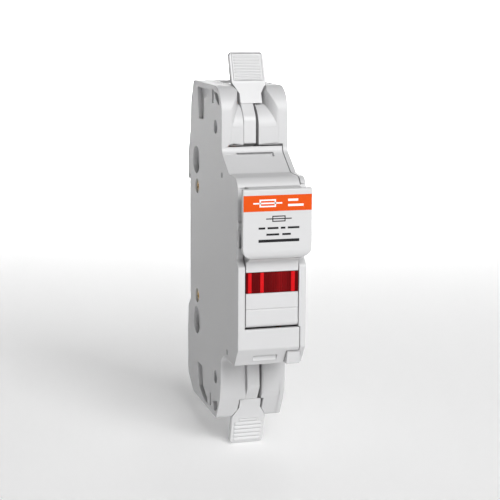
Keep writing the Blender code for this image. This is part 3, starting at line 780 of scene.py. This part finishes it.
def face_outline():
    """The side view of the face and handle, stepped down behind so that it passes under the roof."""
    return filleted([
        (-48.6, -15.1, 0.5), (FRONT_Y, -15.1, 1.1), (FRONT_Y, HANDLE_LOW_Z, 1.0),
        (HANDLE_Y, HANDLE_LOW_Z, 3.2), (HANDLE_Y, HANDLE_TOP_Z, 0.5), (-49.85, HANDLE_TOP_Z, 0),
        (-49.85, ROOF_Z - 0.2, 0), (-48.6, ROOF_Z - 0.2, 0),
    ])


def carrier():
    """Face, handle, cheeks and fuse saddle in one moulding."""
    body = prism("fuse_carrier_visual", face_outline(), -CARRIER_X, CARRIER_X)
    wing = filleted([(-8.85, 3.2, 2.6), (8.85, 3.2, 2.6), (8.85, HANDLE_TOP_Z + 1.0, 0),
                     (-8.85, HANDLE_TOP_Z + 1.0, 0)])
    plate = keep(prism("wing", wing, HANDLE_Y - 0.5, HANDLE_Y + 1.5, "Y"),
                 prism("wing_profile", face_outline(), -9.5, 9.5))
    join(body, settle(plate))
    cheek = filleted([(-48.7, 20.0, 0), (-48.7, -13.0, 0), (-43.2, -13.0, 0.8), (-43.2, -11.5, 0),
                      (-36.5, -11.5, 1.0), (-36.5, 5.5, 1.0), (-43.2, 5.5, 0), (-43.2, 20.0, 0.8)])
    for side in (-1, 1):
        join(body, prism("cheek_%d" % side, cheek, *sorted((side * CHEEK_X, side * (CARRIER_X - 0.1)))))
    join(body, block("saddle", (-CHEEK_X - 0.1, CHEEK_X + 0.1), (-44.3, -38.0), (-4.0, -2.0)))
    cut(body,
        prism("saddle_bore", circle(0.0, FUSE_Y, CAP_RADIUS + 0.2), -22.0, 16.0, "Z"),
        block("window_recess", (-7.5, 7.5), (-52.0, -49.2), WINDOW_Z),
        block("window_light_way", (-4.5, 4.5), (-50.0, -48.0), (-5.6, -1.6)),
        prism("face_groove", [(FRONT_Y - 0.2, GROOVE_Z - 0.2), (FRONT_Y - 0.2, GROOVE_Z + 0.2),
                              (FRONT_Y + 0.22, GROOVE_Z + 0.06), (FRONT_Y + 0.22, GROOVE_Z - 0.06)], -7.5, 7.5),
        prism("pivot_bore", circle(TILT_Y, TILT_Z, PIVOT_HOLE, 24), -10.0, 10.0))
    return body


def sheet(name, x, z, y, thickness):
    """A thin printed sheet on the handle's front."""
    return prism(name, rectangle(x, z), y, y + thickness, "Y")


def label_marks(name, shapes, y):
    """Flat marks joined in one mesh: bars as (x0, x1, z0, z1)."""
    thickness = 0.03
    mesh = bmesh.new()
    for x0, x1, z0, z1 in shapes:
        corners = [(x, level, z) for level in (y, y + thickness)
                   for x, z in rectangle((x0, x1), (z0, z1))]
        verts = [mesh.verts.new([MM * value for value in corner]) for corner in corners]
        for face in ((0, 1, 2, 3), (4, 5, 6, 7), (0, 1, 5, 4), (1, 2, 6, 5), (2, 3, 7, 6), (3, 0, 4, 7)):
            mesh.faces.new([verts[index] for index in face])
    bmesh.ops.recalc_face_normals(mesh, faces=mesh.faces)
    return as_object(name, mesh)


def fuse_symbol(centre_x, centre_z, length, height, line):
    """The drawing symbol of a fuse: an open rectangle with a line through it."""
    half, tall, reach = length / 2, height / 2, length / 2 + 1.6
    return [
        (centre_x - half, centre_x + half, centre_z + tall - line, centre_z + tall),
        (centre_x - half, centre_x + half, centre_z - tall, centre_z - tall + line),
        (centre_x - half, centre_x - half + line, centre_z - tall + line, centre_z + tall - line),
        (centre_x + half - line, centre_x + half, centre_z - tall + line, centre_z + tall - line),
        (centre_x - reach, centre_x + reach, centre_z - line / 2, centre_z + line / 2),
    ]


def ink_rows():
    """Plain bars where a maker prints its data, and the fuse symbol above them."""
    rows = fuse_symbol(0.3, 13.2, 3.4, 1.5, 0.26)
    for top, height, runs in (
            (11.15, 0.5, ((-4.9, -3.2), (-2.6, 0.2), (0.8, 2.0), (2.6, 5.6))),
            (9.55, 0.5, ((-2.9, 0.4), (1.2, 3.4))),
            (8.1, 0.72, ((-4.9, 5.6),))):
        rows += [(x0, x1, top - height, top) for x0, x1 in runs]
    return rows


def lens_body():
    """The fluted lens of the blown-fuse window with its light guide behind."""
    low, high = WINDOW_Z[0] + 0.1, WINDOW_Z[1] - 0.1
    deep, front = 0.07, FRONT_Y + 0.18
    outline = [(-6.8, -49.35), (-6.8, front - 0.1)]
    x = -6.6
    while x < 6.6:
        outline += [(x, front), (x + FLUTE_PITCH / 2, front - deep)]
        x += FLUTE_PITCH
    outline += [(6.8, front - 0.1), (6.8, -49.35)]
    body = prism("indicator_lens", outline, low, high, "Z")
    join(body, block("light_guide", (-4.3, 4.3), (-49.6, -48.1), (-5.4, -1.8)))
    return settle(body)


def lens_bars():
    """The three bright upright bars in the window."""
    low, high = WINDOW_Z[0] + 0.14, WINDOW_Z[1] - 0.14
    bars = None
    for index, (x0, x1) in enumerate(((-6.33, -5.35), (-3.16, -2.17), (4.91, 5.96))):
        outline = filleted([(x0, FRONT_Y + 0.5, 0), (x0, FRONT_Y + 0.02, 0.16), (x1, FRONT_Y + 0.02, 0.16),
                            (x1, FRONT_Y + 0.5, 0)])
        bar = prism("lens_bars" if bars is None else "bar_%d" % index, outline, low, high, "Z")
        bars = bar if bars is None else join(bars, bar)
    return settle(bars)


# ---------------------------------------------------------------- levers

def lever_arm_outline():
    """The side view of the arm between the drums, about the pivot."""
    return filleted([
        (-3.0, 6.1, 0), (-5.85, 2.6, 3.0), (-5.9, -3.9, 0.5), (-4.4, -4.4, 0), (-1.3, -7.1, 0.4),
        (1.2, -7.1, 0.4), (2.6, -2.0, 0), (2.6, 1.5, 1.0), (-0.4, 6.3, 0)])


def lever_neck_outline():
    """The side view of the neck and the tab above the arm, about the pivot."""
    return filleted([
        (-2.9, 6.15, 0), (-0.45, 11.15, 4.0), (2.9, 19.38, 0.9), (4.7, 18.7, 0.9), (1.9, 11.5, 2.0),
        (-0.5, 6.15, 0)])


def on_tab(reach, lift):
    """A (y, z) point at a reach along the tab's flat and a lift off it, about the pivot."""
    length = math.dist(TAB_START, TAB_END)
    ahead = [(b - a) / length for a, b in zip(TAB_START, TAB_END)]
    out = (-ahead[1], ahead[0])
    return tuple(TAB_START[i] + ahead[i] * reach + out[i] * lift for i in (0, 1))


def tab_rib(name, reach, half_width, half_rib, height):
    """One grip rib across the tab, round on top."""
    section = [on_tab(reach + math.cos(math.pi * k / 8) * half_rib, math.sin(math.pi * k / 8) * height - 0.02)
               for k in range(9)]
    section += [on_tab(reach - half_rib, -0.35), on_tab(reach + half_rib, -0.35)]
    return prism(name, section, -half_width, half_width)


def lever(name, sign, sizes):
    """A lever drawn about its pivot, then turned open, mirrored for the lower end and put in place."""
    half = [(NECK_X, 5.0), (NECK_X, 8.6), (TAB_X, 11.3), (TAB_X, 18.2), (TAB_X - 0.9, 19.7),
            (TAB_X - 1.6, 20.2)]
    front = half + [(-x, z) for x, z in reversed(half)]
    piece = keep(prism(name, lever_neck_outline(), -TAB_X - 0.5, TAB_X + 0.5),
                 prism(name + "_front", front, -10.0, 10.0, "Y"))
    join(piece, prism(name + "_arm", lever_arm_outline(), *ARM_X[sign]))
    if sign > 0:
        count, pitch, first, wide, rib = 8, 0.86, 1.25, 3.55, 0.2
        cut(piece, prism(name + "_panel", [on_tab(0.75, -0.1), on_tab(8.0, -0.1), on_tab(8.0, 1.0),
                                           on_tab(0.75, 1.0)], -3.95, 3.95))
        tools = [tab_rib(name + "_rib_%d" % k, first + pitch * k, wide, rib, sizes.fine_rib / MM)
                 for k in range(count)]
    else:
        count, pitch, first, rib = 6, 1.24, 1.2, 0.44
        tools = [tab_rib(name + "_rib_%d" % k, first + pitch * k, 2.6 if k == 0 else 3.75, rib,
                         sizes.bold_rib / MM) for k in range(count)]
    join(piece, *tools)
    cut(piece, prism(name + "_bore", circle(0.0, 0.0, PIN_RADIUS + 0.1, 32), -10.0, 10.0))
    settle(piece)
    turn = Matrix.Rotation(math.radians(LEVER_OPEN[sign]), 4, "X")
    mirror = Matrix.Diagonal((1.0, 1.0, sign, 1.0))
    piece.data.transform(Matrix.Translation((0.0, MM * LEVER_Y, MM * sign * LEVER_Z)) @ mirror @ turn)
    if sign < 0:
        piece.data.flip_normals()
    return piece


# ---------------------------------------------------------------- cartridge fuse and indicator

def fuse_pieces():
    """Turned tube and plated caps with crimp beads, and the small tip of the lower cap."""
    low, high = FUSE_Z - FUSE_LENGTH / 2, FUSE_Z + FUSE_LENGTH / 2
    axis = along("Z", 0.0, FUSE_Y, 0.0)
    tube_low, tube_high = low + CAP_LENGTH + 0.15, high - CAP_LENGTH - 0.15
    tube = turned("fuse_tube_visual", [
        (3.4, high - 1.2), (4.65, high - 1.2), (4.65, tube_high + 0.1), (TUBE_RADIUS, tube_high),
        (TUBE_RADIUS + 0.1, tube_high - 0.2), (TUBE_RADIUS + 0.1, tube_low + 0.2), (TUBE_RADIUS, tube_low),
        (4.65, tube_low - 0.1), (4.65, low + 3.2), (3.4, low + 3.2), (3.4, high - 1.2)], axis, 64)
    bead = CAP_RADIUS - 0.18
    upper = turned("fuse_cap_upper_visual", [
        (0.0, high), (1.2, high - 0.02), (1.35, high - 0.1), (1.5, high - 0.02), (4.5, high - 0.02),
        (4.9, high - 0.14), (CAP_RADIUS, high - 0.5), (CAP_RADIUS, high - 6.4), (bead, high - 6.7),
        (bead, high - 7.1), (CAP_RADIUS, high - 7.4), (CAP_RADIUS, high - 8.35),
        (CAP_RADIUS - 0.1, high - 8.5), (4.92, high - 8.5), (4.92, high - 0.9), (0.0, high - 0.9)], axis, 64)
    shoulder = low + 2.2
    lower = turned("fuse_cap_lower_visual", [
        (0.0, shoulder + 0.8), (4.92, shoulder + 0.8), (4.92, low + 8.5), (CAP_RADIUS - 0.1, low + 8.5),
        (CAP_RADIUS, low + 8.35), (CAP_RADIUS, low + 7.4), (bead, low + 7.1), (bead, low + 6.7),
        (CAP_RADIUS, low + 6.4), (CAP_RADIUS, shoulder + 0.5), (4.9, shoulder + 0.12), (4.5, shoulder),
        (1.9, shoulder), (1.65, shoulder - 0.15), (1.6, shoulder - 0.3), (1.6, low + 0.4),
        (1.45, low + 0.1), (1.15, low), (0.0, low)], axis, 64)
    return tube, upper, lower


def lamp_dome():
    """A small round lamp on its base, pointing out of the front."""
    profile = [(0.0, 1.2), (0.35, 1.14), (0.68, 0.95), (0.9, 0.66), (1.0, 0.3), (1.0, -0.2), (1.25, -0.2),
               (1.25, -0.62), (0.0, -0.62)]
    place = Matrix.Translation((0.0, MM * -46.5, MM * -3.6)) @ Matrix.Rotation(math.pi / 2, 4, "X")
    return turned("indicator_lamp_visual", profile, place, 32)


def resistor():
    """A turned resistor body with swollen ends."""
    profile = [(0.0, 4.5), (0.45, 4.48), (0.72, 4.3), (0.75, 4.0), (0.72, 3.7), (0.6, 3.45), (0.6, 1.55),
               (0.72, 1.3), (0.75, 1.0), (0.72, 0.7), (0.45, 0.52), (0.0, 0.5)]
    return turned("indicator_resistor_visual", profile, along("Z", 3.0, -47.4, 0.0), 28)


def coil_spring():
    """The rail clip's spring."""
    turns, per_turn, coil_radius = 6, 22, 0.62
    low, high = -32.1, -24.95
    points = []
    for step in range(turns * per_turn + 1):
        angle = math.tau * step / per_turn
        height = low + (high - low) * step / (turns * per_turn)
        points.append((coil_radius * math.cos(angle), 1.25 + coil_radius * math.sin(angle), height))
    return wire("rail_clip_spring_visual", points, 0.17)


# ---------------------------------------------------------------- user properties

class FuseHolderSizes(bpy.types.PropertyGroup):
    """Sizes of the finished pieces"""
    edge_round: FloatProperty(name="Edge round", description="Radius of the moulded edges",
                              default=0.00014, min=0.0, unit="LENGTH", precision=5)
    seam: FloatProperty(name="Seam", description="Gap between the tub and the cover",
                        default=0.00016, min=0.00005, unit="LENGTH", precision=5)
    fine_rib: FloatProperty(name="Fine rib", description="Height of the ribs on the upper tab",
                            default=0.00016, min=0.0, unit="LENGTH", precision=5)
    bold_rib: FloatProperty(name="Bold rib", description="Height of the ribs on the lower tab",
                            default=0.00036, min=0.0, unit="LENGTH", precision=5)
    round_segments: IntProperty(name="Round segments", description="Steps across a rounded edge",
                                default=2, min=1, max=4)


class FuseHolderColours(bpy.types.PropertyGroup):
    """Colours of the finished pieces"""
    housing: FloatVectorProperty(name="Housing", description="Moulded casing and carrier", subtype="COLOR",
                                 size=4, default=(0.6, 0.6, 0.606, 1.0), min=0.0, max=1.0)
    lever: FloatVectorProperty(name="Levers", description="Moulded terminal levers", subtype="COLOR",
                               size=4, default=(0.645, 0.645, 0.65, 1.0), min=0.0, max=1.0)
    band: FloatVectorProperty(name="Label band", description="Printed band of the label", subtype="COLOR",
                              size=4, default=(0.72, 0.083, 0.006, 1.0), min=0.0, max=1.0)
    ink: FloatVectorProperty(name="Label ink", description="Dark print of the label", subtype="COLOR",
                             size=4, default=(0.02, 0.02, 0.022, 1.0), min=0.0, max=1.0)
    lens_dark: FloatVectorProperty(name="Lens, dark", description="Unlit part of the window", subtype="COLOR",
                                   size=4, default=(0.11, 0.001, 0.002, 1.0), min=0.0, max=1.0)
    lens_mid: FloatVectorProperty(name="Lens, middle", description="Window near the lamp", subtype="COLOR",
                                  size=4, default=(0.24, 0.004, 0.006, 1.0), min=0.0, max=1.0)
    lens_bright: FloatVectorProperty(name="Lens, bright", description="Bright bars of the window",
                                     subtype="COLOR", size=4, default=(0.62, 0.006, 0.01, 1.0),
                                     min=0.0, max=1.0)


# ---------------------------------------------------------------- operators

class PieceOperator:
    """What the operators below share"""
    bl_options = {"REGISTER", "UNDO"}

    @staticmethod
    def sizes():
        return bpy.context.scene.fuse_holder_sizes

    @classmethod
    def round_off(cls, piece, factor=1.0):
        sizes = cls.sizes()
        return soften(clean(piece), sizes.edge_round * factor, sizes.round_segments)


class FUSEHOLDER_OT_casing(PieceOperator, bpy.types.Operator):
    """Build the tub, the cover and the brass eyelets"""
    bl_idname = "fuseholder.casing"
    bl_label = "Casing"

    def execute(self, context):
        sizes = self.sizes()
        shell = self.round_off(settle(left_shell(sizes)))
        finish(shell, "housing", look_of("housing"), "housing_plastic", "left_housing_shell")
        cover = self.round_off(settle(right_cover()))
        finish(cover, "housing", look_of("housing"), "housing_plastic", "right_housing_cover")
        for sign, end in ((1, "upper"), (-1, "lower")):
            finish(eyelet("rivet_%s_visual" % end, sign), "housing", look_of("brass"), "brass",
                   "rivet_" + end)
        return {"FINISHED"}


class FUSEHOLDER_OT_carrier(PieceOperator, bpy.types.Operator):
    """Build the tilt-out carrier with its handle"""
    bl_idname = "fuseholder.carrier"
    bl_label = "Carrier"

    def execute(self, context):
        body = self.round_off(settle(carrier()))
        finish(body, "carrier", look_of("carrier"), "housing_plastic", "fuse_carrier")
        return {"FINISHED"}


class FUSEHOLDER_OT_label(PieceOperator, bpy.types.Operator):
    """Build the printed label: colour band and plain marks"""
    bl_idname = "fuseholder.label"
    bl_label = "Label"

    def execute(self, context):
        band = sheet("front_label_band", (-8.75, 8.75), (15.1, 19.07), HANDLE_Y - 0.025, 0.06)
        finish(band, "carrier", look_of("band"), "label_print", "front_label")
        white = label_marks("label_white_marks", fuse_symbol(-2.6, 17.1, 4.2, 1.9, 0.34)
                            + [(2.6, 6.6, 16.2, 16.75), (2.6, 5.2, 17.5, 18.05)], HANDLE_Y - 0.045)
        finish(white, "carrier", look_of("white_ink"), "label_print")
        dark = label_marks("label_dark_marks", ink_rows(), HANDLE_Y - 0.02)
        finish(dark, "carrier", look_of("ink"), "label_print")
        return {"FINISHED"}


class FUSEHOLDER_OT_indicator(PieceOperator, bpy.types.Operator):
    """Build the blown-fuse window, its lamp and its resistor"""
    bl_idname = "fuseholder.indicator"
    bl_label = "Indicator"

    def execute(self, context):
        finish(lens_body(), "carrier", look_of("lens"), "red_lens", "indicator_window")
        finish(lens_bars(), "carrier", look_of("lens_bar"), "red_lens")
        finish(lamp_dome(), "carrier", look_of("lamp"), "lamp_red", "indicator_lamp")
        finish(resistor(), "carrier", look_of("resistor"), "resistor_body", "indicator_resistor")
        return {"FINISHED"}


class FUSEHOLDER_OT_levers(PieceOperator, bpy.types.Operator):
    """Build the two terminal levers with their ribbed tabs"""
    bl_idname = "fuseholder.levers"
    bl_label = "Levers"

    def execute(self, context):
        for sign, end in ((1, "upper"), (-1, "lower")):
            piece = self.round_off(lever("%s_lever_visual" % end, sign, self.sizes()), 1.3)
            finish(piece, end + "_lever_body", look_of("lever"), "lever_plastic", end + "_lever")
        return {"FINISHED"}


class FUSEHOLDER_OT_fuse(PieceOperator, bpy.types.Operator):
    """Build the cartridge fuse and the rail clip's spring"""
    bl_idname = "fuseholder.fuse"
    bl_label = "Cartridge fuse"

    def execute(self, context):
        tube, upper, lower = fuse_pieces()
        finish(tube, "carrier", look_of("tube"), "fuse_melamine", "fuse_tube")
        finish(upper, "carrier", look_of("nickel"), "nickel_plate", "fuse_cap_upper")
        finish(lower, "carrier", look_of("nickel"), "nickel_plate", "fuse_cap_lower")
        finish(coil_spring(), "housing", look_of("steel"), "steel", "rail_clip_spring")
        return {"FINISHED"}


class FUSEHOLDER_OT_kept_nodes(PieceOperator, bpy.types.Operator):
    """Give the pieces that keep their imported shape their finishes"""
    bl_idname = "fuseholder.kept_nodes"
    bl_label = "Kept pieces"

    finishes = {
        "clip": ("rail_clip",),
        "board": ("indicator_board",),
        "copper": ("indicator_contact_upper", "indicator_contact_lower", "fuse_element", "upper_fuse_clip",
                   "lower_fuse_clip", "upper_terminal_bar", "lower_terminal_bar"),
        "zinc": ("upper_clamp_cage", "lower_clamp_cage"),
        "steel": ("upper_clamp_spring", "lower_clamp_spring", "carrier_pivot_pin", "upper_lever_pin",
                  "lower_lever_pin"),
    }

    def execute(self, context):
        for kind, names in self.finishes.items():
            for name in names:
                node = frame["nodes"][name]
                if not node.material_slots:
                    raise RuntimeError(name + " has no material slot")
                for slot in node.material_slots:
                    slot.material = look_of(kind)
        return {"FINISHED"}


class FUSEHOLDER_OT_stage(bpy.types.Operator):
    """Build the floor, the light and the camera"""
    bl_idname = "fuseholder.stage"
    bl_label = "Stage"

    def execute(self, context):
        scene = context.scene
        floor_z = CAD_BOX[0][2] / MM - FLOOR_GAP
        sweep = filleted([(-1500.0, floor_z, 0), (1600.0, floor_z, 700.0), (1600.0, 2600.0, 0)])
        mesh = bmesh.new()
        rows = [[mesh.verts.new((MM * x, MM * y, MM * z)) for y, z in sweep] for x in (-3000.0, 3000.0)]
        for index in range(len(sweep) - 1):
            mesh.faces.new((rows[0][index], rows[1][index], rows[1][index + 1], rows[0][index + 1]))
        floor = as_object("studio_sweep", mesh)
        floor.data.shade_smooth()
        floor.data.materials.append(look_of("paper"))
        for name, place, aim, size, power, spread in LIGHTS:
            self.area_light(name, Vector(place), Vector(aim), size, power, spread)
        world = bpy.data.worlds.new("studio_air")
        world.use_nodes = True
        air = world.node_tree.nodes["Background"]
        air.inputs["Color"].default_value = (1.0, 1.0, 1.0, 1.0)
        air.inputs["Strength"].default_value = AIR_GLOW
        scene.world = world
        scene.view_settings.view_transform = "Standard"
        self.camera(scene)
        return {"FINISHED"}

    @staticmethod
    def area_light(name, place, aim, size, power, spread):
        data = bpy.data.lights.new(name, "AREA")
        data.shape = "SQUARE"
        data.size = size
        data.energy = power
        data.spread = math.radians(spread)
        light = bpy.data.objects.new(name, data)
        bpy.context.scene.collection.objects.link(light)
        light.location = place
        light.rotation_euler = (aim - place).to_track_quat("-Z", "Y").to_euler()

    @staticmethod
    def camera(scene):
        data = bpy.data.cameras.new("studio_camera")
        data.lens = CAMERA_LENS
        data.sensor_width = 36.0
        data.clip_start = 0.01
        camera = bpy.data.objects.new("studio_camera", data)
        scene.collection.objects.link(camera)
        yaw, pitch, roll = map(math.radians, (CAMERA_YAW, CAMERA_PITCH, CAMERA_ROLL))
        right = Vector((math.cos(yaw), -math.sin(yaw), 0.0))
        level = Vector((math.sin(yaw), math.cos(yaw), 0.0))
        ahead = math.cos(pitch) * level - Vector((0.0, 0.0, math.sin(pitch)))
        up = math.sin(pitch) * level + Vector((0.0, 0.0, math.cos(pitch)))
        across = math.cos(roll) * right + math.sin(roll) * up
        upward = math.cos(roll) * up - math.sin(roll) * right
        turn = Matrix((across, upward, -ahead)).transposed().to_4x4()
        camera.matrix_world = Matrix.Translation(CAMERA_PLACE) @ turn
        scene.camera = camera


class FUSEHOLDER_PT_pieces(bpy.types.Panel):
    """Lists the pieces in the sidebar"""
    bl_idname = "FUSEHOLDER_PT_pieces"
    bl_label = "Fuse holder"
    bl_space_type = "VIEW_3D"
    bl_region_type = "UI"
    bl_category = "Fuse holder"

    def draw(self, context):
        layout = self.layout
        for group in (context.scene.fuse_holder_sizes, context.scene.fuse_holder_colours):
            column = layout.column()
            for name in group.__annotations__:
                column.prop(group, name)
        for operator in OPERATORS:
            layout.operator(operator.bl_idname)


OPERATORS = (FUSEHOLDER_OT_casing, FUSEHOLDER_OT_carrier, FUSEHOLDER_OT_label, FUSEHOLDER_OT_indicator,
             FUSEHOLDER_OT_levers, FUSEHOLDER_OT_fuse, FUSEHOLDER_OT_kept_nodes, FUSEHOLDER_OT_stage)
CLASSES = (FuseHolderSizes, FuseHolderColours) + OPERATORS + (FUSEHOLDER_PT_pieces,)


def register():
    for made in CLASSES:
        bpy.utils.register_class(made)
    bpy.types.Scene.fuse_holder_sizes = PointerProperty(type=FuseHolderSizes)
    bpy.types.Scene.fuse_holder_colours = PointerProperty(type=FuseHolderColours)


def unregister():
    del bpy.types.Scene.fuse_holder_colours
    del bpy.types.Scene.fuse_holder_sizes
    for made in reversed(CLASSES):
        bpy.utils.unregister_class(made)


def main():
    register()
    bpy.ops.fuseholder.casing()
    bpy.ops.fuseholder.carrier()
    bpy.ops.fuseholder.label()
    bpy.ops.fuseholder.indicator()
    bpy.ops.fuseholder.levers()
    bpy.ops.fuseholder.fuse()
    bpy.ops.fuseholder.kept_nodes()
    bpy.ops.fuseholder.stage()


if __name__ == "__main__":
    main()
